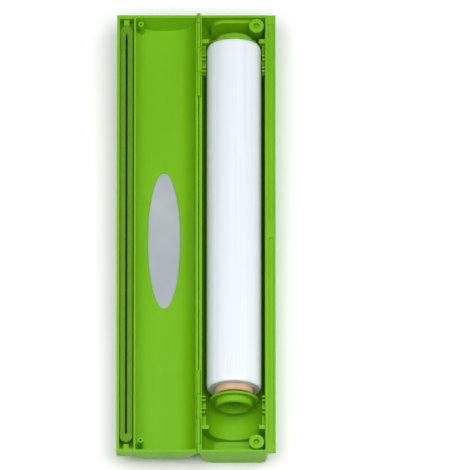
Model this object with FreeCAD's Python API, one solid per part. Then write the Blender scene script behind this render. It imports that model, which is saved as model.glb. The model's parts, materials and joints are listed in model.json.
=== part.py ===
import FreeCAD, Part
import math
import os

# Cling film dispenser: a deep base trough and a shallower lid, hinged along one long side.
# The part is modelled with the lid swung fully open beside the base.
#
# Frame: +X from the hinge towards the front lip, +Y towards the far end, +Z up.
# The origin is the centre of the flat underside of the base.  Lengths are in millimetres.
#
# Cross-sections are written as (out, depth) pairs measured from the hinge axis.  "out" runs
# away from the hinge, to +X on the base and to -X on the lid.  "depth" runs down.
# "inset" is measured along Y from the end faces towards the middle.

BASE = 1
LID = -1
FAR = 1
NEAR = -1
ENDS = (FAR, NEAR)

# ---- overall ----
HALF_LENGTH = 193.0
HINGE_X = -31.25
HINGE_Z = 32.0
RIM_DEPTH = 0.15
WALL = 2.0
BACK_GAP = 0.4
END_EDGE_RADIUS = 1.2
END_DRAFT = 0.09

# ---- base ----
BASE_DEPTH = HINGE_Z
FLOOR_DEPTH = BASE_DEPTH - WALL
LIP_OUTER = 63.0
LIP_TOP = 0.6
LIP_BOTTOM = 3.2
RIDGE_TOP = 0.3
RIDGE_WIDTH = 1.2
GROOVE_OUT = (57.4, 61.2)
GROOVE_BOTTOM = 1.7
GROOVE_END_INSET = 8.0
THUMB_PAD_Y = 3.5
THUMB_PAD_HALF = 7.5
END_PAD_OUT = (10.1, 50.2)
END_PAD_TOP_INSET = 5.0
END_PAD_FOOT_INSET = 11.0
END_PAD_TOP = 5.0
END_PAD_CORNER = 11.0
FLOOR_RIB_Y = (-100.0, 0.0, 100.0)
FLOOR_RIB_OUT = (16.0, 42.0)
FLOOR_RIB_TOP = 24.0
FLOOR_RIB_THICKNESS = 2.0

# ---- film roll ----
ROLL_OUT = 28.9
ROLL_DEPTH = 6.0
FILM_RADIUS = 22.5
FILM_LENGTH = 302.0
FILM_NEAR_INSET = 57.0
CORE_RADIUS = 15.9
CORE_BORE = 12.5
CORE_NEAR_GAP = 3.0
PLUG_NEAR_INSET = 47.5
PLUG_FAR_INSET = 25.3
PLUG_ROUND = 2.2
FLANGE_RADIUS = 20.0
FLANGE_THICKNESS = 2.0
BOSS_RADIUS = 15.25
BOSS_FACE = 7.5
PLUG_RECESS_RADIUS = 12.6
PLUG_RECESS_DEPTH = 5.0
PLUG_DISH = (2.2, 3.2)
PLUG_WEB = 0.4
PLUG_HOLE_RADIUS = 5.75
SPIGOT_LENGTH = 18.0
SPIGOT_WALL = 1.55
EDGE_BREAK = 0.5
FIT_GAP = 0.05
RUNNING_GAP = 0.08

# ---- cradles that carry the roll, one at each end of the base ----
CRADLE_GAP = 0.1
SADDLE_INSET = (20.7, 24.3)
SADDLE_TOP = 1.4
TROUGH_INSET = (24.3, 50.5)
TROUGH_RADIUS = 23.0
TROUGH_WALL = 1.4
SHELF_TOP = 7.0
SHELF_THICKNESS = 1.6
SADDLE_RADIUS = 20.5
SLOT_INSETS = (37.0, PLUG_NEAR_INSET)
SLOT_RIB_OFFSET = 1.6
SLOT_RIB_THICKNESS = 1.2
SLOT_RIB_TOP = 0.9

# ---- lid ----
LID_DEPTH = 19.5
STRIP_DEPTH = 13.0
CHANNEL_OUT = (53.2, 64.9)
CHANNEL_FLOOR = 11.2
LID_FRONT = 67.2
PARTITION_INNER = 51.6
LID_END_SLOPE = 5.0
LID_HOLLOW_CURVE = (
    (2.4, RIM_DEPTH),
    (6.1, 10.4),
    (12.0, 15.9),
    (20.0, 17.4),
    (29.0, 17.8),
    (38.0, 17.3),
    (45.0, 15.0),
    (PARTITION_INNER, 10.6),
)

# ---- window in the lid ----
WINDOW_OUT = 28.4
WINDOW_HALF_WIDTH = 13.5
WINDOW_HALF_LENGTH = 60.0
WINDOW_REBATE = 2.0
WINDOW_REBATE_DEPTH = 18.6
PANE_INNER_DEPTH = 18.4

# ---- corner latches ----
LATCH_OUT = 47.4
LATCH_INSET = 9.2
SOCKET_RADIUS = 6.1
SOCKET_HOLE_RADIUS = 2.45
SOCKET_HOLE_DEPTH = 3.8
LATCH_PIN_RADIUS = 2.25
LATCH_PIN_HOLE = 0.9
LATCH_PIN_RISE = 3.0
LATCH_PIN_ROOT = 16.0

# ---- hinge ----
KNUCKLE_RADIUS = 1.5
PIN_RADIUS = 0.75
PIN_BORE = 0.8
PIN_RELIEF = 1.0
KNUCKLE_RELIEF = 1.8
KNUCKLE_CLEARANCE = 0.3
KNUCKLES = {
    BASE: ((-1.2, 7.0), (29.3, 50.7)),
    LID: ((7.3, 29.0), (51.0, 72.0)),
}
PIN_INSET = (-0.9, 71.7)
STOP_INSET = (16.0, 56.0)
STOP_OUT = (0.04, 2.0)
STOP_DEPTH = (2.4, 5.0)

# ---- cutter in the lid channel ----
CUTTER_OUT = 59.3
GUARD_WIDTH = 10.6
GUARD_WALL = 1.2
GUARD_HALF_LENGTH = 184.0
GUARD_TOP = 0.5
GUARD_ROOF = 1.5
GUARD_SKIRT = 6.6
GUARD_ROUND = 0.8
SLIT_WIDTH = 1.5
SLIT_HALF_LENGTH = 177.0
STRIP_OFFSET = (1.0, 4.3)
STRIP_TOP = 0.25
STRIP_SEAT = 0.9
STRIP_HALF_LENGTH = 176.0
TONGUE_HALF_WIDTH = 1.6
TONGUE_INSET = (5.8, 10.0)
TONGUE_DEPTH = (5.2, GUARD_SKIRT)
HOOK_HALF_WIDTH = 2.2
HOOK_INSET = (1.0, 8.3)
HOOK_DEPTH = (3.6, 5.1)
RAIL_OUT = (56.2, 62.4)
RAIL_TOP = 8.2
RAIL_HALF_LENGTH = 174.0
BLADE_THICKNESS = 0.5
BLADE_FOOT_OUT = 62.3
BLADE_TIP = 3.2
TOOTH_HEIGHT = 1.3
TOOTH_COUNT = 145
SCREW_Y = (-160.0, -80.0, 0.0, 80.0, 160.0)
SCREW_OUT = 60.95
SCREW_HEAD_RADIUS = 1.2
SCREW_HEAD_HEIGHT = 0.8
SCREW_SHANK_RADIUS = 0.6
SCREW_LENGTH = 5.0
SCREW_SLOT_WIDTH = 0.35
SCREW_SLOT_DEPTH = 0.35

# ---- springs under the guard ----
SPRING_Y = GUARD_HALF_LENGTH - GUARD_WIDTH / 2
SPRING_MEAN_RADIUS = 1.95
SPRING_WIRE_RADIUS = 0.25
SPRING_TURNS = 6
SEAT_PEG_RADIUS = 1.45
SEAT_PEG_HEIGHT = 2.0

FOLDER = "parts"


def point(side, out, depth, y=0.0):
    """A point of the base or lid, given from the hinge axis."""
    return FreeCAD.Vector(HINGE_X + side * out, y, HINGE_Z - depth)


def slab(side, out, y, depth):
    """A box between two values of out, two of y and two of depth."""
    left = min(out) if side == BASE else max(out)
    low = point(side, left, max(depth), min(y))
    size = (abs(out[1] - out[0]), abs(y[1] - y[0]), abs(depth[1] - depth[0]))
    return Part.makeBox(*size, low)


def along_y(end, inset):
    """The y range between two insets from one end."""
    edges = [end * (HALF_LENGTH - value) for value in inset]
    return (min(edges), max(edges))


def cylinder_y(side, out, depth, radius, y):
    """A cylinder lying along Y."""
    start = point(side, out, depth, y[0])
    return Part.makeCylinder(radius, y[1] - y[0], start, FreeCAD.Vector(0, 1, 0))


def cylinder_z(side, out, y, radius, depth):
    """An upright cylinder between two depths."""
    start = point(side, out, max(depth), y)
    return Part.makeCylinder(radius, max(depth) - min(depth), start)


def section(side, start, steps, y):
    """Extrude a cross-section along Y.  A step is a point, or a pair of points for an arc."""
    here = point(side, *start, y[0])
    first = here
    edges = []
    for step in steps:
        if isinstance(step[0], tuple):
            middle = point(side, *step[0], y[0])
            there = point(side, *step[1], y[0])
            edges.append(Part.Arc(here, middle, there).toShape())
        else:
            there = point(side, *step, y[0])
            edges.append(Part.makeLine(here, there))
        here = there
    edges.append(Part.makeLine(here, first))
    return Part.Face(Part.Wire(edges)).extrude(FreeCAD.Vector(0, y[1] - y[0], 0))


def between_ends(side, top, bottom):
    """A block across one side, its ends sloping from one (depth, inset) pair to another."""
    outline = []
    for end, pairs in ((NEAR, (bottom, top)), (FAR, (top, bottom))):
        for depth, inset in pairs:
            outline.append(point(side, 0, depth, end * (HALF_LENGTH - inset)))
    face = Part.Face(Part.makePolygon(outline + outline[:1]))
    return face.extrude(FreeCAD.Vector(side * (LID_FRONT + 1), 0, 0))


def drafted(side, top, bottom, inset=0.0):
    """The block between the drafted end faces, or a wall inside them."""
    return between_ends(side, (top, inset + END_DRAFT * top), (bottom, inset + END_DRAFT * bottom))


def stadium(out, half_width, half_length, depth):
    """An upright slab of the lid with half-round ends, centred on y = 0."""
    straight = half_length - half_width
    body = slab(LID, (out - half_width, out + half_width), (-straight, straight), depth)
    for end in ENDS:
        body = body.fuse(cylinder_z(LID, out, end * straight, half_width, depth))
    return body.removeSplitter()


def ellipse_prism(out, half_width, half_length, depth):
    """An upright elliptical slab of the lid, long axis along Y."""
    centre = point(LID, out, max(depth))
    long_end = centre + FreeCAD.Vector(0, half_length, 0)
    short_end = centre + FreeCAD.Vector(half_width, 0, 0)
    rim = Part.Wire(Part.Ellipse(long_end, short_end, centre).toShape())
    return Part.Face(rim).extrude(FreeCAD.Vector(0, 0, max(depth) - min(depth)))


def revolved(centre, start, steps, direction):
    """Turn an (r, t) outline about a line through centre along direction times Y."""
    def place(pair):
        return centre + FreeCAD.Vector(pair[0], direction * pair[1], 0)

    here = start
    edges = []
    for step in steps + [start]:
        if isinstance(step[0], tuple):
            edges.append(Part.Arc(place(here), place(step[0]), place(step[1])).toShape())
            here = step[1]
        else:
            edges.append(Part.makeLine(place(here), place(step)))
            here = step
    face = Part.Face(Part.Wire(edges))
    return face.revolve(centre, FreeCAD.Vector(0, 1, 0), 360)


def round_end_edges(body):
    """Soften the outer edges round both end faces."""
    edges = []
    for face in body.Faces:
        if abs(face.normalAt(0, 0).y) > 0.9:
            edges += [edge for edge in face.Edges if edge.BoundBox.ZMin < HINGE_Z - 2 * RIM_DEPTH]
    return body.makeFillet(END_EDGE_RADIUS, edges)


def hinged(body, side):
    """Cut the hinge clearances, then add this side's knuckles and open stops."""
    for end in ENDS:
        axis_run = along_y(end, (PIN_INSET[0] - 1, PIN_INSET[1] + KNUCKLE_CLEARANCE))
        body = body.cut(cylinder_y(side, 0, 0, PIN_RELIEF, axis_run))
        for start, stop in KNUCKLES[-side]:
            span = (start - KNUCKLE_CLEARANCE, stop + KNUCKLE_CLEARANCE)
            body = body.cut(cylinder_y(side, 0, 0, KNUCKLE_RELIEF, along_y(end, span)))
        for span in KNUCKLES[side]:
            body = body.fuse(cylinder_y(side, 0, 0, KNUCKLE_RADIUS, along_y(end, span)))
        body = body.fuse(slab(side, STOP_OUT, along_y(end, STOP_INSET), STOP_DEPTH))
        for start, stop in KNUCKLES[side]:
            bore = (start - KNUCKLE_CLEARANCE, stop + KNUCKLE_CLEARANCE)
            body = body.cut(cylinder_y(side, 0, 0, PIN_BORE, along_y(end, bore)))
    return body


def base_cavity(gap, top, y):
    """The hollow of the base, shrunk by a gap, from one depth down to the floor."""
    floor = FLOOR_DEPTH - gap
    full = section(
        BASE,
        (2.6 + gap, -1),
        [
            (2.6 + gap, RIM_DEPTH),
            ((5.6 + gap, 17.5), (13 + gap, floor)),
            (48.5 - gap, floor),
            ((51.9 - gap, 28.4 - gap), (53 - gap, 25)),
            (54.6 - gap, RIM_DEPTH),
            (54.6 - gap, -1),
        ],
        y,
    )
    return full.common(slab(BASE, (0, LIP_OUTER), y, (top, BASE_DEPTH)))


def lip():
    """The flange along the front, with a shallow groove either side of a thumb pad."""
    whole = (-HALF_LENGTH, HALF_LENGTH)
    body = slab(BASE, (56, LIP_OUTER), whole, (LIP_TOP, LIP_BOTTOM))
    body = body.fuse(slab(BASE, (LIP_OUTER - RIDGE_WIDTH, LIP_OUTER), whole, (RIDGE_TOP, LIP_BOTTOM)))
    depth = (0, GROOVE_BOTTOM)
    radius = (GROOVE_OUT[1] - GROOVE_OUT[0]) / 2
    centre = sum(GROOVE_OUT) / 2
    for end in ENDS:
        pad_edge = THUMB_PAD_Y + end * (THUMB_PAD_HALF + radius)
        run = sorted((pad_edge, end * (HALF_LENGTH - GROOVE_END_INSET)))
        groove = slab(BASE, GROOVE_OUT, run, depth)
        groove = groove.fuse(cylinder_z(BASE, centre, pad_edge, radius, depth))
        body = body.cut(groove)
    return body


def end_pad(end):
    """The sloping panel with rounded top corners on the inside of an end wall."""
    reach = along_y(end, (WALL / 2, END_PAD_FOOT_INSET))
    panel = slab(BASE, END_PAD_OUT, reach, (END_PAD_TOP, FLOOR_DEPTH))
    top = HINGE_Z - END_PAD_TOP - 1
    corners = [edge for edge in panel.Edges if edge.BoundBox.YLength > 1 and edge.BoundBox.ZMin > top]
    panel = panel.makeFillet(END_PAD_CORNER, corners).common(base_cavity(-WALL / 2, 0, reach))
    front = between_ends(BASE, (END_PAD_TOP, END_PAD_TOP_INSET), (FLOOR_DEPTH, END_PAD_FOOT_INSET))
    return panel.cut(front).common(drafted(BASE, 0, BASE_DEPTH, WALL / 2))


def floor_ribs():
    """Low cross ribs with hollowed tops that carry the roll along its length."""
    bed = cylinder_y(BASE, ROLL_OUT, ROLL_DEPTH, FILM_RADIUS + RUNNING_GAP, (-HALF_LENGTH, HALF_LENGTH))
    half = FLOOR_RIB_THICKNESS / 2
    ribs = []
    for y in FLOOR_RIB_Y:
        blank = slab(BASE, FLOOR_RIB_OUT, (y - half, y + half), (FLOOR_RIB_TOP, FLOOR_DEPTH + 0.5))
        ribs.append(blank.cut(bed))
    return ribs


def base_shell():
    """The deep trough with its lip, latch sockets, end pads and floor ribs."""
    body = section(
        BASE,
        (BACK_GAP, RIM_DEPTH),
        [
            ((1.3, 12), (3.6, 21)),
            ((6.2, 28.4), (12, BASE_DEPTH)),
            (50.5, BASE_DEPTH),
            ((54, 30), (55, 26)),
            (56.6, RIM_DEPTH),
        ],
        (-HALF_LENGTH, HALF_LENGTH),
    )
    body = body.common(drafted(BASE, 0, BASE_DEPTH))
    body = round_end_edges(body).fuse(lip())
    inside = (WALL - HALF_LENGTH, HALF_LENGTH - WALL)
    body = body.cut(base_cavity(0, -1, inside).common(drafted(BASE, -1, BASE_DEPTH, WALL)))
    for rib in floor_ribs():
        body = body.fuse(rib)
    for end in ENDS:
        y = end * (HALF_LENGTH - LATCH_INSET)
        body = body.fuse(end_pad(end))
        body = body.fuse(cylinder_z(BASE, LATCH_OUT, y, SOCKET_RADIUS, (RIDGE_TOP, FLOOR_DEPTH + WALL / 2)))
        body = body.cut(cylinder_z(BASE, LATCH_OUT, y, SOCKET_HOLE_RADIUS, (0, SOCKET_HOLE_DEPTH)))
    return hinged(body, BASE).removeSplitter()


def cradle(end):
    """A drop-in insert: a saddle plate round the plug boss and a half-pipe trough beside it."""
    saddle_y = along_y(end, SADDLE_INSET)
    trough_y = along_y(end, TROUGH_INSET)
    reach = along_y(end, (SADDLE_INSET[0] - 1, TROUGH_INSET[1] + 1))

    saddle = base_cavity(CRADLE_GAP, SADDLE_TOP, saddle_y)
    saddle = saddle.cut(cylinder_y(BASE, ROLL_OUT, ROLL_DEPTH, SADDLE_RADIUS, reach))
    saddle_mouth = (ROLL_OUT - SADDLE_RADIUS, ROLL_OUT + SADDLE_RADIUS)
    saddle = saddle.cut(slab(BASE, saddle_mouth, reach, (-1, ROLL_DEPTH)))

    pipe = cylinder_y(BASE, ROLL_OUT, ROLL_DEPTH, TROUGH_RADIUS + TROUGH_WALL, trough_y)
    shelf_depth = (SHELF_TOP, SHELF_TOP + SHELF_THICKNESS)
    trough = pipe.fuse(slab(BASE, (0, LIP_OUTER), trough_y, shelf_depth))
    trough = trough.common(base_cavity(CRADLE_GAP, SHELF_TOP, trough_y))
    for inset in SLOT_INSETS:
        for offset in (-SLOT_RIB_OFFSET, SLOT_RIB_OFFSET):
            middle = inset + offset
            y = along_y(end, (middle - SLOT_RIB_THICKNESS / 2, middle + SLOT_RIB_THICKNESS / 2))
            rib = base_cavity(CRADLE_GAP, SLOT_RIB_TOP, y)
            trough = trough.fuse(rib)
    trough = trough.cut(cylinder_y(BASE, ROLL_OUT, ROLL_DEPTH, TROUGH_RADIUS, reach))
    trough_mouth = (ROLL_OUT - TROUGH_RADIUS, ROLL_OUT + TROUGH_RADIUS)
    trough = trough.cut(slab(BASE, trough_mouth, reach, (-1, ROLL_DEPTH)))
    return saddle.fuse(trough).removeSplitter()


def hinge_pin(end):
    """One steel pin through the four knuckles at an end of the hinge."""
    return cylinder_y(BASE, 0, 0, PIN_RADIUS, along_y(end, PIN_INSET))


def lid_hollow():
    """The main hollow of the lid, smoothly dished, with end walls sloping in to the floor."""
    rim_half = HALF_LENGTH - WALL
    above = RIM_DEPTH - 1
    curve = Part.BSplineCurve()
    curve.interpolate([point(LID, out, depth, -rim_half) for out, depth in LID_HOLLOW_CURVE])
    corners = [
        LID_HOLLOW_CURVE[-1],
        (LID_HOLLOW_CURVE[-1][0], above),
        (LID_HOLLOW_CURVE[0][0], above),
        LID_HOLLOW_CURVE[0],
    ]
    sides = Part.makePolygon([point(LID, out, depth, -rim_half) for out, depth in corners])
    face = Part.Face(Part.Wire([curve.toShape()] + sides.Edges))
    hollow = face.extrude(FreeCAD.Vector(0, 2 * rim_half, 0))
    return hollow.common(between_ends(LID, (above, WALL), (LID_DEPTH, WALL + LID_END_SLOPE)))


def lid_shell():
    """The shallow cover with the cutter channel along its front edge."""
    whole = (-HALF_LENGTH, HALF_LENGTH)
    channel_half = HALF_LENGTH - WALL - END_DRAFT * CHANNEL_FLOOR
    body = section(
        LID,
        (BACK_GAP, RIM_DEPTH),
        [
            ((4.6, 12.5), (12, LID_DEPTH)),
            (44.5, LID_DEPTH),
            (54, STRIP_DEPTH),
            (65.2, STRIP_DEPTH),
            ((66.6, 12.4), (LID_FRONT, 11)),
            (LID_FRONT, RIM_DEPTH),
        ],
        whole,
    )
    body = round_end_edges(body.common(drafted(LID, 0, LID_DEPTH)))
    body = body.cut(lid_hollow())
    body = body.cut(slab(LID, CHANNEL_OUT, (-channel_half, channel_half), (0, CHANNEL_FLOOR)))
    hook_out = (CUTTER_OUT - HOOK_HALF_WIDTH, CUTTER_OUT + HOOK_HALF_WIDTH)
    for y in SCREW_Y:
        body = body.cut(cylinder_z(LID, SCREW_OUT, y, SCREW_SHANK_RADIUS + FIT_GAP, (0, STRIP_DEPTH - 0.2)))
    for end in ENDS:
        body = body.fuse(slab(LID, hook_out, along_y(end, HOOK_INSET), HOOK_DEPTH))
        peg_depth = (CHANNEL_FLOOR - SEAT_PEG_HEIGHT, CHANNEL_FLOOR + 0.5)
        body = body.fuse(cylinder_z(LID, CUTTER_OUT, end * SPRING_Y, SEAT_PEG_RADIUS, peg_depth))
        y = end * (HALF_LENGTH - LATCH_INSET)
        pin_depth = (RIM_DEPTH - LATCH_PIN_RISE, LATCH_PIN_ROOT)
        body = body.fuse(cylinder_z(LID, LATCH_OUT, y, LATCH_PIN_RADIUS, pin_depth))
        body = body.cut(cylinder_z(LID, LATCH_OUT, y, LATCH_PIN_HOLE, (-LATCH_PIN_RISE, CHANNEL_FLOOR)))
    opening = (WINDOW_HALF_WIDTH, WINDOW_HALF_LENGTH)
    rebate = (WINDOW_HALF_WIDTH + WINDOW_REBATE, WINDOW_HALF_LENGTH + WINDOW_REBATE)
    body = body.cut(ellipse_prism(WINDOW_OUT, *opening, (0, LID_DEPTH + 1)))
    body = body.cut(ellipse_prism(WINDOW_OUT, *rebate, (WINDOW_REBATE_DEPTH, LID_DEPTH + 1)))
    return hinged(body, LID).removeSplitter()


def window_pane():
    """An oval pane, flush outside and slightly sunk inside, with a flange in the rebate."""
    opening = (WINDOW_HALF_WIDTH - FIT_GAP, WINDOW_HALF_LENGTH - FIT_GAP)
    flange_edge = WINDOW_REBATE - FIT_GAP
    flange = (WINDOW_HALF_WIDTH + flange_edge, WINDOW_HALF_LENGTH + flange_edge)
    pane = ellipse_prism(WINDOW_OUT, *opening, (PANE_INNER_DEPTH, LID_DEPTH))
    return pane.fuse(ellipse_prism(WINDOW_OUT, *flange, (WINDOW_REBATE_DEPTH, LID_DEPTH))).removeSplitter()


def guard_bar():
    """The sprung cover over the blade: an upturned channel with a long slit in its roof."""
    half_width = GUARD_WIDTH / 2
    body = stadium(CUTTER_OUT, half_width, GUARD_HALF_LENGTH, (GUARD_TOP, GUARD_SKIRT))
    top = HINGE_Z - GUARD_TOP
    top_edges = [edge for edge in body.Edges if edge.BoundBox.ZMin > top - 0.01]
    body = body.makeFillet(GUARD_ROUND, top_edges)
    inner = (half_width - GUARD_WALL, GUARD_HALF_LENGTH - GUARD_WALL)
    body = body.cut(stadium(CUTTER_OUT, *inner, (GUARD_TOP + GUARD_ROOF, GUARD_SKIRT + 1)))
    body = body.cut(stadium(CUTTER_OUT, SLIT_WIDTH / 2, SLIT_HALF_LENGTH, (0, GUARD_SKIRT)))
    for flank in (1, -1):
        body = body.cut(grip_strip(flank, FIT_GAP))
    tongue_out = (CUTTER_OUT - TONGUE_HALF_WIDTH, CUTTER_OUT + TONGUE_HALF_WIDTH)
    for end in ENDS:
        body = body.fuse(slab(LID, tongue_out, along_y(end, TONGUE_INSET), TONGUE_DEPTH))
    return body.removeSplitter()


def grip_strip(flank, gap):
    """A soft strip beside the slit that holds the film while it is cut."""
    middle = CUTTER_OUT + flank * sum(STRIP_OFFSET) / 2
    half_width = (STRIP_OFFSET[1] - STRIP_OFFSET[0]) / 2 + gap
    return stadium(middle, half_width, STRIP_HALF_LENGTH + gap, (STRIP_TOP, STRIP_SEAT))


def blade_rail():
    """The straight carrier that lifts the blade off the channel floor."""
    y = (-RAIL_HALF_LENGTH, RAIL_HALF_LENGTH)
    body = slab(LID, RAIL_OUT, y, (RAIL_TOP, CHANNEL_FLOOR))
    for hole_y in SCREW_Y:
        body = body.cut(cylinder_z(LID, SCREW_OUT, hole_y, SCREW_SHANK_RADIUS + FIT_GAP, (0, STRIP_DEPTH)))
    return body


def blade():
    """An L-shaped steel strip: a screwed-down foot and an upright serrated edge."""
    half = RAIL_HALF_LENGTH
    pitch = 2 * half / TOOTH_COUNT
    inner = CUTTER_OUT - BLADE_THICKNESS / 2
    root = BLADE_TIP + TOOTH_HEIGHT
    corners = [point(LID, inner, RAIL_TOP, -half)]
    for tooth in range(TOOTH_COUNT):
        start = -half + tooth * pitch
        corners.append(point(LID, inner, root, start))
        corners.append(point(LID, inner, BLADE_TIP, start + pitch / 2))
    corners.append(point(LID, inner, root, half))
    corners.append(point(LID, inner, RAIL_TOP, half))
    outline = Part.Face(Part.makePolygon(corners + corners[:1]))
    upright = outline.extrude(FreeCAD.Vector(-BLADE_THICKNESS, 0, 0))
    foot = slab(LID, (inner, BLADE_FOOT_OUT), (-half, half), (RAIL_TOP - BLADE_THICKNESS, RAIL_TOP))
    for y in SCREW_Y:
        foot = foot.cut(cylinder_z(LID, SCREW_OUT, y, SCREW_SHANK_RADIUS + FIT_GAP, (0, RAIL_TOP + 1)))
    return upright.fuse(foot).removeSplitter()


def blade_screw(y):
    """A small slotted screw, its head on the blade foot."""
    seat = RAIL_TOP - BLADE_THICKNESS
    head = cylinder_z(LID, SCREW_OUT, y, SCREW_HEAD_RADIUS, (seat - SCREW_HEAD_HEIGHT, seat))
    rim = HINGE_Z - seat + SCREW_HEAD_HEIGHT - 0.01
    head = head.makeFillet(SCREW_HEAD_HEIGHT / 2, [edge for edge in head.Edges if edge.BoundBox.ZMin > rim])
    slot_out = (SCREW_OUT - SCREW_SLOT_WIDTH / 2, SCREW_OUT + SCREW_SLOT_WIDTH / 2)
    slot_y = (y - SCREW_HEAD_RADIUS, y + SCREW_HEAD_RADIUS)
    slot_depth = (seat - SCREW_HEAD_HEIGHT - 1, seat - SCREW_HEAD_HEIGHT + SCREW_SLOT_DEPTH)
    head = head.cut(slab(LID, slot_out, slot_y, slot_depth))
    return head.fuse(cylinder_z(LID, SCREW_OUT, y, SCREW_SHANK_RADIUS, (seat, seat + SCREW_LENGTH)))


def guard_spring(end):
    """A small compression spring between the channel floor and the guard roof."""
    height = CHANNEL_FLOOR - GUARD_TOP - GUARD_ROOF
    pitch = (height - 2 * SPRING_WIRE_RADIUS) / SPRING_TURNS
    helix = Part.makeHelix(pitch, pitch * SPRING_TURNS, SPRING_MEAN_RADIUS)
    wire_start = FreeCAD.Vector(SPRING_MEAN_RADIUS, 0, 0)
    ring = Part.makeCircle(SPRING_WIRE_RADIUS, wire_start, FreeCAD.Vector(0, 1, 0))
    coil = Part.Wire(helix.Edges).makePipeShell([Part.Wire(ring)], True, True)
    coil.translate(point(LID, CUTTER_OUT, CHANNEL_FLOOR - SPRING_WIRE_RADIUS, end * SPRING_Y))
    return coil


def core_tube():
    """The cardboard tube the film is wound on, its near end a little short of the flange."""
    margin = FLANGE_THICKNESS / 2 + FIT_GAP
    start = PLUG_NEAR_INSET + margin + CORE_NEAR_GAP - HALF_LENGTH
    run = (start, HALF_LENGTH - PLUG_FAR_INSET - margin)
    tube = cylinder_y(BASE, ROLL_OUT, ROLL_DEPTH, CORE_RADIUS, run)
    return tube.cut(cylinder_y(BASE, ROLL_OUT, ROLL_DEPTH, CORE_BORE, run))


def film_wrap():
    """The wound film, a thick sleeve on the core."""
    start = FILM_NEAR_INSET - HALF_LENGTH
    run = (start, start + FILM_LENGTH)
    sleeve = cylinder_y(BASE, ROLL_OUT, ROLL_DEPTH, FILM_RADIUS, run)
    return sleeve.cut(cylinder_y(BASE, ROLL_OUT, ROLL_DEPTH, CORE_RADIUS + FIT_GAP, run))


def plug(end, inset):
    """An end plug: a spigot in the core, a flange, and a round-edged boss with a dished recess."""
    inner_face = end * (HALF_LENGTH - inset - FLANGE_THICKNESS / 2)
    spigot = CORE_BORE - FIT_GAP
    bulge = PLUG_ROUND * (1 - math.sqrt(0.5))
    half_edge = FLANGE_THICKNESS / 2
    steps = [
        (PLUG_HOLE_RADIUS, BOSS_FACE - PLUG_RECESS_DEPTH),
        ((PLUG_RECESS_RADIUS - PLUG_DISH[0], BOSS_FACE - PLUG_DISH[1]), (PLUG_RECESS_RADIUS, BOSS_FACE)),
        (BOSS_RADIUS - PLUG_ROUND, BOSS_FACE),
        ((BOSS_RADIUS - bulge, BOSS_FACE - bulge), (BOSS_RADIUS, BOSS_FACE - PLUG_ROUND)),
        (BOSS_RADIUS, FLANGE_THICKNESS),
        (FLANGE_RADIUS - half_edge, FLANGE_THICKNESS),
        ((FLANGE_RADIUS, half_edge), (FLANGE_RADIUS - half_edge, 0)),
        (spigot, 0),
        (spigot, EDGE_BREAK - SPIGOT_LENGTH),
        (spigot - EDGE_BREAK, -SPIGOT_LENGTH),
        (spigot - SPIGOT_WALL, -SPIGOT_LENGTH),
        (spigot - SPIGOT_WALL, PLUG_WEB),
    ]
    centre = point(BASE, ROLL_OUT, ROLL_DEPTH, inner_face)
    return revolved(centre, (PLUG_HOLE_RADIUS, PLUG_WEB), steps, end)


def save(node, shape):
    """Write one sub-part to its own STEP file."""
    shape.exportStep(os.path.join(FOLDER, node + ".step"))


os.makedirs(FOLDER, exist_ok=True)
save("base_shell", base_shell())
save("cradle_far", cradle(FAR))
save("cradle_near", cradle(NEAR))
save("hinge_pin_far", hinge_pin(FAR))
save("hinge_pin_near", hinge_pin(NEAR))
save("lid_shell", lid_shell())
save("window_pane", window_pane())
save("blade_rail", blade_rail())
save("blade", blade())
save("blade_screws", Part.makeCompound([blade_screw(y) for y in SCREW_Y]))
save("guard_bar", guard_bar())
save("grip_strip_front", grip_strip(1, 0))
save("grip_strip_rear", grip_strip(-1, 0))
save("guard_spring_far", guard_spring(FAR))
save("guard_spring_near", guard_spring(NEAR))
save("core_tube", core_tube())
save("film_wrap", film_wrap())
save("plug_far", plug(FAR, PLUG_FAR_INSET))
save("plug_near", plug(NEAR, PLUG_NEAR_INSET))
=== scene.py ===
import json
import math

import bmesh
import bpy
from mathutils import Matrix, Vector, noise


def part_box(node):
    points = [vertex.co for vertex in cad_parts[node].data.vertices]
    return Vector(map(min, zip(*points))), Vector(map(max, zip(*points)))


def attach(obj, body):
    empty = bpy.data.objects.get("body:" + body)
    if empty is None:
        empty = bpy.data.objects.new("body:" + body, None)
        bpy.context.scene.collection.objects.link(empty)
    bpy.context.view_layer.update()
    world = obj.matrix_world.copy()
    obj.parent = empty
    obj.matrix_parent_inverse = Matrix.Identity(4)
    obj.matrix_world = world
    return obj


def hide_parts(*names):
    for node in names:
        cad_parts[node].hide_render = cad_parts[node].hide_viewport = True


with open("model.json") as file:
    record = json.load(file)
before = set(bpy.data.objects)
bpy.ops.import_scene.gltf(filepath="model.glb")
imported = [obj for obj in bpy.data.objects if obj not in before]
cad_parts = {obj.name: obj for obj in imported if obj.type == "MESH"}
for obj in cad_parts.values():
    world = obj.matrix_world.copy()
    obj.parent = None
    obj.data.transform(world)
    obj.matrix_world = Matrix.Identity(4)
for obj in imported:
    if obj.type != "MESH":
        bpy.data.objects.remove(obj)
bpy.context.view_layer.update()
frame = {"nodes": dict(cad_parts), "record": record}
MM = 0.001

# ---------------------------------------------------------------- view and light
CAMERA_ELEVATION = math.radians(68)
CAMERA_DISTANCE = 18.0
SENSOR_MM = 36.0
FRAME_WIDTH_M = 0.3852
AIM = Vector((-0.0015, -0.0020, 0.03185))
SKY_STRENGTH = 0.20
HORIZON_STRENGTH = 1.0
HORIZON_FADE = (0.05, 0.12)
CLIP_RANGE = (0.1, 200.0)
FLOOR_HALF_WIDTH = 60.0
FLOOR_DROP = 0.2 * MM
FLOOR_TONES = (0.92, 0.94)
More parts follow.
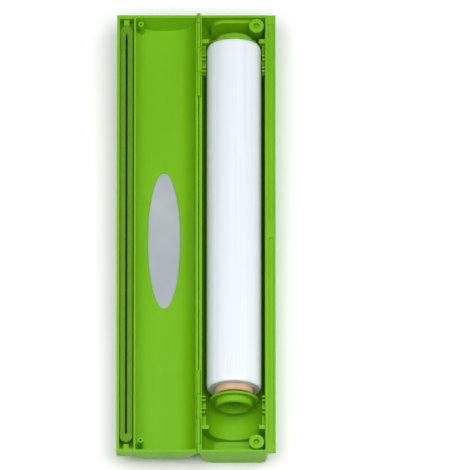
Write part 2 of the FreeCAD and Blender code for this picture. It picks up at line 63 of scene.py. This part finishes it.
# name, place, (width, length) and power of each soft light, all aimed at the origin
LIGHTS = (
    ("key_overhead", (0.05, -0.28, 1.45), (1.8, 1.1), 26.5),
    ("fill_left", (-1.1, 0.1, 1.2), (0.8, 1.2), 2.5),
    ("strip_right", (2.0, 0.5, 1.4), (0.12, 2.4), 7.0),
)


# ---------------------------------------------------------------- node helpers
class Shader:
    """A material's node tree with short calls for the nodes used here."""

    def __init__(self, name):
        self.material = bpy.data.materials.new(name)
        self.material.use_nodes = True
        self.tree = self.material.node_tree
        self.tree.nodes.clear()
        self.output = self.node("ShaderNodeOutputMaterial")
        self.surface = self.node("ShaderNodeBsdfPrincipled")
        self.link(self.surface.outputs["BSDF"], self.output.inputs["Surface"])
        self.coordinates = self.node("ShaderNodeTexCoord").outputs["Object"]

    def node(self, kind, **settings):
        """A new node of a kind with some settings."""
        made = self.tree.nodes.new(kind)
        for key, value in settings.items():
            setattr(made, key, value)
        return made

    def link(self, source, target):
        self.tree.links.new(source, target)

    def put(self, target, value):
        """Set an input to a value, or link it to an output."""
        if isinstance(value, bpy.types.NodeSocket):
            self.link(value, target)
        else:
            target.default_value = value

    def stretched(self, scale):
        """Object coordinates scaled apart on each axis, to draw a pattern out."""
        mapping = self.node("ShaderNodeMapping")
        self.link(self.coordinates, mapping.inputs["Vector"])
        mapping.inputs["Scale"].default_value = scale
        return mapping.outputs["Vector"]

    def noise(self, scale, detail=2.0, roughness=0.5, vector=None):
        made = self.node("ShaderNodeTexNoise")
        self.link(vector or self.coordinates, made.inputs["Vector"])
        made.inputs["Scale"].default_value = scale
        made.inputs["Detail"].default_value = detail
        made.inputs["Roughness"].default_value = roughness
        return made.outputs["Fac"]

    def math(self, operation, first, second=0.0):
        made = self.node("ShaderNodeMath", operation=operation)
        self.put(made.inputs[0], first)
        self.put(made.inputs[1], second)
        return made.outputs[0]

    def remap(self, value, low, high, from_low=0.3, from_high=0.7):
        made = self.node("ShaderNodeMapRange")
        self.put(made.inputs["Value"], value)
        made.inputs["From Min"].default_value = from_low
        made.inputs["From Max"].default_value = from_high
        made.inputs["To Min"].default_value = low
        made.inputs["To Max"].default_value = high
        return made.outputs["Result"]

    def mix(self, factor, first, second):
        made = self.node("ShaderNodeMix", data_type="RGBA")
        self.put(made.inputs["Factor"], factor)
        self.put(made.inputs["A"], first)
        self.put(made.inputs["B"], second)
        return made.outputs["Result"]

    def bump(self, height, distance, strength=1.0, below=None):
        made = self.node("ShaderNodeBump")
        made.inputs["Strength"].default_value = strength
        made.inputs["Distance"].default_value = distance
        self.put(made.inputs["Height"], height)
        if below:
            self.link(below, made.inputs["Normal"])
        return made.outputs["Normal"]

    def rounded_edges(self, radius):
        made = self.node("ShaderNodeBevel", samples=6)
        made.inputs["Radius"].default_value = radius
        return made.outputs["Normal"]

    def set(self, **values):
        """Fill inputs of the surface shader, named with underscores for spaces."""
        for key, value in values.items():
            self.put(self.surface.inputs[key.replace("_", " ")], value)


def linear(red, green, blue):
    """An sRGB colour of 0 to 255 as the linear values a node takes."""
    values = []
    for channel in (red, green, blue):
        part = channel / 255
        values.append(part / 12.92 if part <= 0.04045 else ((part + 0.055) / 1.055) ** 2.4)
    return (*values, 1.0)


# ---------------------------------------------------------------- materials
STEEL_STAIN = 0.82


def moulded_plastic(name, colour, shade, roughness):
    """Satin injection-moulded plastic: spark grain, faint flow bands and handling marks."""
    s = Shader(name)
    cloud = s.noise(14.0, 3.0)
    flow = s.noise(1.0, 3.0, 0.6, s.stretched((160.0, 9.0, 160.0)))
    tone = s.math("ADD", s.math("MULTIPLY", cloud, 0.6), s.math("MULTIPLY", flow, 0.4))
    colour_out = s.mix(s.remap(tone, 0.0, 1.0), linear(*shade), linear(*colour))
    scuff = s.noise(1.0, 5.0, 0.7, s.stretched((900.0, 60.0, 900.0)))
    base_rough = s.remap(cloud, roughness - 0.04, roughness + 0.05)
    rough = s.math("ADD", base_rough, s.remap(scuff, -0.03, 0.05))
    grain = s.noise(2600.0, 2.0, 0.6)
    wave = s.noise(70.0, 1.0)
    normal = s.bump(grain, 0.00002, 0.35, s.bump(wave, 0.0002, 0.20, s.rounded_edges(0.0003)))
    s.set(
        Base_Color=colour_out,
        Roughness=rough,
        Normal=normal,
        Specular_IOR_Level=0.18,
        Subsurface_Weight=0.08,
        Subsurface_Radius=(0.002, 0.004, 0.0005),
        Subsurface_Scale=1.0,
    )
    return s.material


def frosted_window():
    """Milky translucent plastic with a fine frosted skin."""
    s = Shader("window_frosted")
    cloud = s.noise(22.0, 3.0)
    frost = s.noise(3500.0, 2.0, 0.6)
    s.set(
        Base_Color=s.mix(s.remap(cloud, 0, 1), linear(184, 190, 200), linear(202, 207, 214)),
        Roughness=s.remap(cloud, 0.42, 0.55),
        Transmission_Weight=0.35,
        IOR=1.46,
        Normal=s.bump(frost, 0.00003, 0.4, s.rounded_edges(0.0003)),
    )
    return s.material


def wound_film():
    """Many layers of clear film: milky white with cool shadows and tight lengthwise streaks."""
    s = Shader("film_wound")
    streak = s.noise(1.0, 4.0, 0.6, s.stretched((420.0, 1.5, 420.0)))
    band = s.noise(1.0, 2.0, 0.5, s.stretched((60.0, 2.0, 60.0)))
    tone = s.math("ADD", s.math("MULTIPLY", streak, 0.55), s.math("MULTIPLY", band, 0.45))
    ripple = s.noise(1.0, 3.0, 0.5, s.stretched((260.0, 4.0, 260.0)))
    s.set(
        Base_Color=s.mix(s.remap(tone, 0, 1), linear(210, 219, 225), linear(226, 231, 234)),
        Roughness=s.remap(band, 0.20, 0.34),
        Normal=s.bump(ripple, 0.0001, 0.2),
        Specular_IOR_Level=0.35,
        Coat_Weight=0.12,
        Coat_Roughness=0.12,
        Subsurface_Weight=0.25,
        Subsurface_Radius=(0.004, 0.0045, 0.005),
        Subsurface_Scale=1.0,
    )
    return s.material


def cardboard():
    """Tan board with paper fibres."""
    s = Shader("core_board")
    fibre = s.noise(1.0, 6.0, 0.7, s.stretched((1400.0, 500.0, 1400.0)))
    blotch = s.noise(90.0, 3.0)
    tone = s.math("ADD", s.math("MULTIPLY", fibre, 0.5), s.math("MULTIPLY", blotch, 0.5))
    s.set(
        Base_Color=s.mix(s.remap(tone, 0, 1), linear(176, 140, 104), linear(214, 182, 146)),
        Roughness=s.remap(fibre, 0.78, 0.95),
        Normal=s.bump(fibre, 0.0001, 0.5),
    )
    return s.material


def steel(name, colour, roughness, scale):
    """Drawn steel, or steel coloured dark as painted shade; the larger a scale, the closer its lines lie on
    that axis.
    """
    s = Shader(name)
    lines = s.noise(1.0, 4.0, 0.6, s.stretched(scale))
    stain = s.noise(120.0, 3.0)
    dark = tuple(int(part * STEEL_STAIN) for part in colour)
    s.set(
        Base_Color=s.mix(s.remap(stain, 0, 1), linear(*dark), linear(*colour)),
        Metallic=1.0,
        Roughness=s.remap(lines, roughness - 0.06, roughness + 0.08),
        Normal=s.bump(lines, 0.00002, 0.4, s.rounded_edges(0.0001)),
    )
    return s.material


def grip_rubber():
    """Soft grey-green elastomer with a dusty bloom."""
    s = Shader("grip_elastomer")
    bloom = s.noise(180.0, 4.0, 0.6)
    pores = s.noise(2200.0, 2.0)
    s.set(
        Base_Color=s.mix(s.remap(bloom, 0, 1), linear(84, 131, 22), linear(92, 141, 28)),
        Specular_IOR_Level=0.15,
        Roughness=s.remap(bloom, 0.55, 0.75),
        Normal=s.bump(pores, 0.00004, 0.5, s.rounded_edges(0.0002)),
    )
    return s.material


MATERIALS = {
    "body_plastic": moulded_plastic("body_lime", (112, 176, 13), (105, 168, 10), 0.45),
    "cutter_plastic": moulded_plastic("cutter_green", (92, 142, 18), (84, 134, 14), 0.5),
    "window_plastic": frosted_window(),
    "grip_rubber": grip_rubber(),
    # painted shade: the blade's steel is coloured dark so the cutter slit reads as shade
    "blade_steel": steel("blade_painted_shade_dark", (84, 88, 84), 0.42, (80.0, 2400.0, 80.0)),
    "pin_steel": steel("pin_drawn", (176, 178, 180), 0.30, (2400.0, 40.0, 2400.0)),
    "spring_steel": steel("spring_drawn", (150, 152, 156), 0.34, (900.0, 900.0, 900.0)),
    "core_cardboard": cardboard(),
    "film": wound_film(),
}


def dress_cad_nodes():
    """Give every CAD node the material of its slot."""
    slots = {part["node"]: part["material_slot"] for part in frame["record"]["subparts"]}
    for name, obj in frame["nodes"].items():
        material = MATERIALS[slots[name]]
        if not obj.material_slots:
            obj.data.materials.append(material)
        for material_slot in obj.material_slots:
            material_slot.material = material


# ---------------------------------------------------------------- wound parts
TURN = 2 * math.pi

FILM_SEGMENTS = 288
FILM_END_RINGS = 22
FILM_SIDE_RINGS = 110
FILM_SHOULDER_RINGS = 9
FILM_SHOULDER = 5.0 * MM
FILM_DROP = 1.8 * MM
FILM_LAP_ANGLE = math.radians(64)
FILM_LAP_DRIFT = 0.02
FILM_LAP_STEP = 0.06 * MM
FILM_WAVE = 0.02 * MM
FILM_RING = 0.01 * MM
FILM_END_GRAIN = 0.28 * MM
# noise rates: about the axis and along it, or out from it on the ends
FILM_WAVE_RATE = (1.6, 22)
FILM_RING_RATE = (0.6, 260)
FILM_GRAIN_RATE = (1.5, 2600)
FILM_RING_OFFSET = 3.1
CORE_GAP = 0.05 * MM

CORE_SEGMENTS = 160
CORE_LENGTH_RINGS = 160
CORE_BORE_RINGS = 40
CORE_WALL = 3.4 * MM
CORE_SEAM_LEAD = 92 * MM
CORE_SEAM_WIDTH = 0.035
CORE_SEAM_DEPTH = 0.18 * MM
CORE_FUZZ = 0.02 * MM
CORE_FUZZ_RATE = (9, 700)


def spread(start, stop, count):
    """Evenly spaced values from start to stop, both ends included."""
    return [start + (stop - start) * index / count for index in range(count + 1)]


def lying_cylinder(node):
    """The axis x and z, the radius and the two ends of a node that lies along Y."""
    low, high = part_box(node)
    return (low.x + high.x) / 2, (low.z + high.z) / 2, (high.x - low.x) / 2, low.y, high.y


def tube_object(name, node, profile, segments, displaced):
    """A closed tube about a node's axis: profile points go round it, moved by displaced()."""
    axis_x, axis_z = lying_cylinder(node)[:2]
    build = bmesh.new()
    rings = []
    for kind, radius, along in profile:
        ring = []
        for step in range(segments):
            angle = TURN * step / segments
            out, y = displaced(kind, radius, along, angle)
            ring.append(build.verts.new((axis_x + out * math.cos(angle), y, axis_z + out * math.sin(angle))))
        rings.append(ring)
    for index, here in enumerate(rings):
        there = rings[(index + 1) % len(rings)]
        for step in range(segments):
            after = (step + 1) % segments
            build.faces.new((here[step], here[after], there[after], there[step]))
    bmesh.ops.recalc_face_normals(build, faces=build.faces)
    for face in build.faces:
        face.smooth = True
    mesh = bpy.data.meshes.new(name)
    build.to_mesh(mesh)
    build.free()
    obj = bpy.data.objects.new(name, mesh)
    bpy.context.scene.collection.objects.link(obj)
    return obj


def film_roll():
    """The wound film: rounded shoulders, soft waves, one lapped edge and ridged ends."""
    outer, near, far = lying_cylinder("film_wrap")[2:]
    inner = lying_cylinder("core_tube")[2] + CORE_GAP
    end_radii = spread(inner, outer - FILM_DROP, FILM_END_RINGS)[:-1]
    quarter = spread(0, TURN / 4, FILM_SHOULDER_RINGS)[:-1]
    bends = [FILM_SHOULDER * (1 - math.cos(angle)) for angle in quarter]
    places = [near + bend for bend in bends]
    places += spread(near + FILM_SHOULDER, far - FILM_SHOULDER, FILM_SIDE_RINGS)
    places += [far - bend for bend in reversed(bends)]
    profile = [("near", radius, near) for radius in end_radii]
    profile += [("side", outer, place) for place in places]
    profile += [("far", radius, far) for radius in reversed(end_radii)]

    def displaced(kind, radius, along, angle):
        round_x = math.cos(angle)
        round_z = math.sin(angle)
        if kind != "side":
            inward = 1 if kind == "near" else -1
            about, outward = FILM_GRAIN_RATE
            grain = noise.noise(Vector((radius * outward, round_x * about, round_z * about)))
            return radius, along + inward * FILM_END_GRAIN * (1 + grain)
        about, lengthwise = FILM_WAVE_RATE
        wave = noise.noise(Vector((round_x * about, round_z * about, along * lengthwise)))
        about, lengthwise = FILM_RING_RATE
        ring = noise.noise(Vector((along * lengthwise, FILM_RING_OFFSET, round_x * about)))
        sink = FILM_WAVE * (1 + wave) + FILM_RING * (1 + ring)
        past_lap = (angle - (along - near) * FILM_LAP_DRIFT - FILM_LAP_ANGLE) % TURN
        sink += FILM_LAP_STEP * (1 - past_lap / TURN)
        from_end = min(along - near, far - along)
        if from_end < FILM_SHOULDER:
            sink += FILM_DROP * (1 - math.sqrt(1 - (1 - from_end / FILM_SHOULDER) ** 2))
        return outer - sink, along

    roll = tube_object("film_roll_wound", "film_wrap", profile, FILM_SEGMENTS, displaced)
    roll.data.materials.append(MATERIALS["film"])
    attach(roll, "roll")
    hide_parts("film_wrap")


def core_board():
    """The cardboard core with its spiral butt seam as a shallow groove."""
    outer, near, far = lying_cylinder("core_tube")[2:]
    inner = outer - CORE_WALL
    middle = (outer + inner) / 2
    profile = [("outside", outer, place) for place in spread(near, far, CORE_LENGTH_RINGS)]
    profile.append(("end", middle, far))
    profile += [("bore", inner, place) for place in spread(far, near, CORE_BORE_RINGS)]
    profile.append(("end", middle, near))

    def displaced(kind, radius, along, angle):
        if kind != "outside":
            return radius, along
        turns = (angle / TURN + along / CORE_SEAM_LEAD) % 1.0
        from_seam = min(turns, 1 - turns)
        about, lengthwise = CORE_FUZZ_RATE
        place = Vector((math.cos(angle) * about, math.sin(angle) * about, along * lengthwise))
        fuzz = noise.noise(place)
        sink = CORE_FUZZ * (1 + fuzz)
        if from_seam < CORE_SEAM_WIDTH:
            sink += CORE_SEAM_DEPTH * (1 - from_seam / CORE_SEAM_WIDTH)
        return radius - sink, along

    tube = tube_object("core_board_tube", "core_tube", profile, CORE_SEGMENTS, displaced)
    tube.data.materials.append(MATERIALS["core_cardboard"])
    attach(tube, "roll")
    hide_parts("core_tube")


# ---------------------------------------------------------------- studio
def floor():
    """A wide pale floor just under the object."""
    half = FLOOR_HALF_WIDTH
    corners = [(-half, -half), (half, -half), (half, half), (-half, half)]
    mesh = bpy.data.meshes.new("studio_floor")
    mesh.from_pydata([(x, y, -FLOOR_DROP) for x, y in corners], [], [(0, 1, 2, 3)])
    obj = bpy.data.objects.new("studio_floor", mesh)
    bpy.context.scene.collection.objects.link(obj)
    s = Shader("floor_pale")
    cloud = s.noise(3.0, 2.0)
    darker, lighter = [(tone, tone, tone, 1) for tone in FLOOR_TONES]
    s.set(
        Base_Color=s.mix(s.remap(cloud, 0, 1), darker, lighter),
        Roughness=0.9,
        Specular_IOR_Level=0.1,
    )
    mesh.materials.append(s.material)


def area_light(name, place, size, power):
    """A white rectangular light aimed at the origin."""
    data = bpy.data.lights.new(name, "AREA")
    data.shape = "RECTANGLE"
    data.size, data.size_y = size
    data.energy = power
    obj = bpy.data.objects.new(name, data)
    bpy.context.scene.collection.objects.link(obj)
    obj.location = place
    obj.rotation_euler = (-Vector(place)).to_track_quat("-Z", "Y").to_euler()


def backdrop():
    """A dim even sky that turns white close to the horizon, so the floor has no visible edge."""
    world = bpy.data.worlds.new("studio_world")
    world.use_nodes = True
    nodes = world.node_tree.nodes
    links = world.node_tree.links
    direction = nodes.new("ShaderNodeTexCoord").outputs["Generated"]
    parts = nodes.new("ShaderNodeSeparateXYZ")
    links.new(direction, parts.inputs["Vector"])
    fade = nodes.new("ShaderNodeMapRange")
    links.new(parts.outputs["Z"], fade.inputs["Value"])
    fade.inputs["From Min"].default_value = HORIZON_FADE[0]
    fade.inputs["From Max"].default_value = HORIZON_FADE[1]
    fade.inputs["To Min"].default_value = HORIZON_STRENGTH
    fade.inputs["To Max"].default_value = SKY_STRENGTH
    background = nodes["Background"]
    background.inputs["Color"].default_value = (1.0, 1.0, 1.0, 1.0)
    links.new(fade.outputs["Result"], background.inputs["Strength"])
    return world


def studio():
    """Sky, floor, lights and plain colour handling."""
    scene = bpy.context.scene
    scene.world = backdrop()
    scene.view_settings.view_transform = "Standard"
    scene.view_settings.look = "None"
    floor()
    for light in LIGHTS:
        area_light(*light)


def camera():
    """A long lens, level along X and tilted from straight down towards the near end."""
    data = bpy.data.cameras.new("photo_camera")
    obj = bpy.data.objects.new("photo_camera", data)
    bpy.context.scene.collection.objects.link(obj)
    back = Vector((0, -math.cos(CAMERA_ELEVATION), math.sin(CAMERA_ELEVATION)))
    obj.location = AIM + back * CAMERA_DISTANCE
    obj.rotation_euler = (-back).to_track_quat("-Z", "Y").to_euler()
    data.sensor_width = SENSOR_MM
    data.lens = SENSOR_MM * CAMERA_DISTANCE / FRAME_WIDTH_M
    data.clip_start, data.clip_end = CLIP_RANGE
    bpy.context.scene.camera = obj


dress_cad_nodes()
film_roll()
core_board()
studio()
camera()
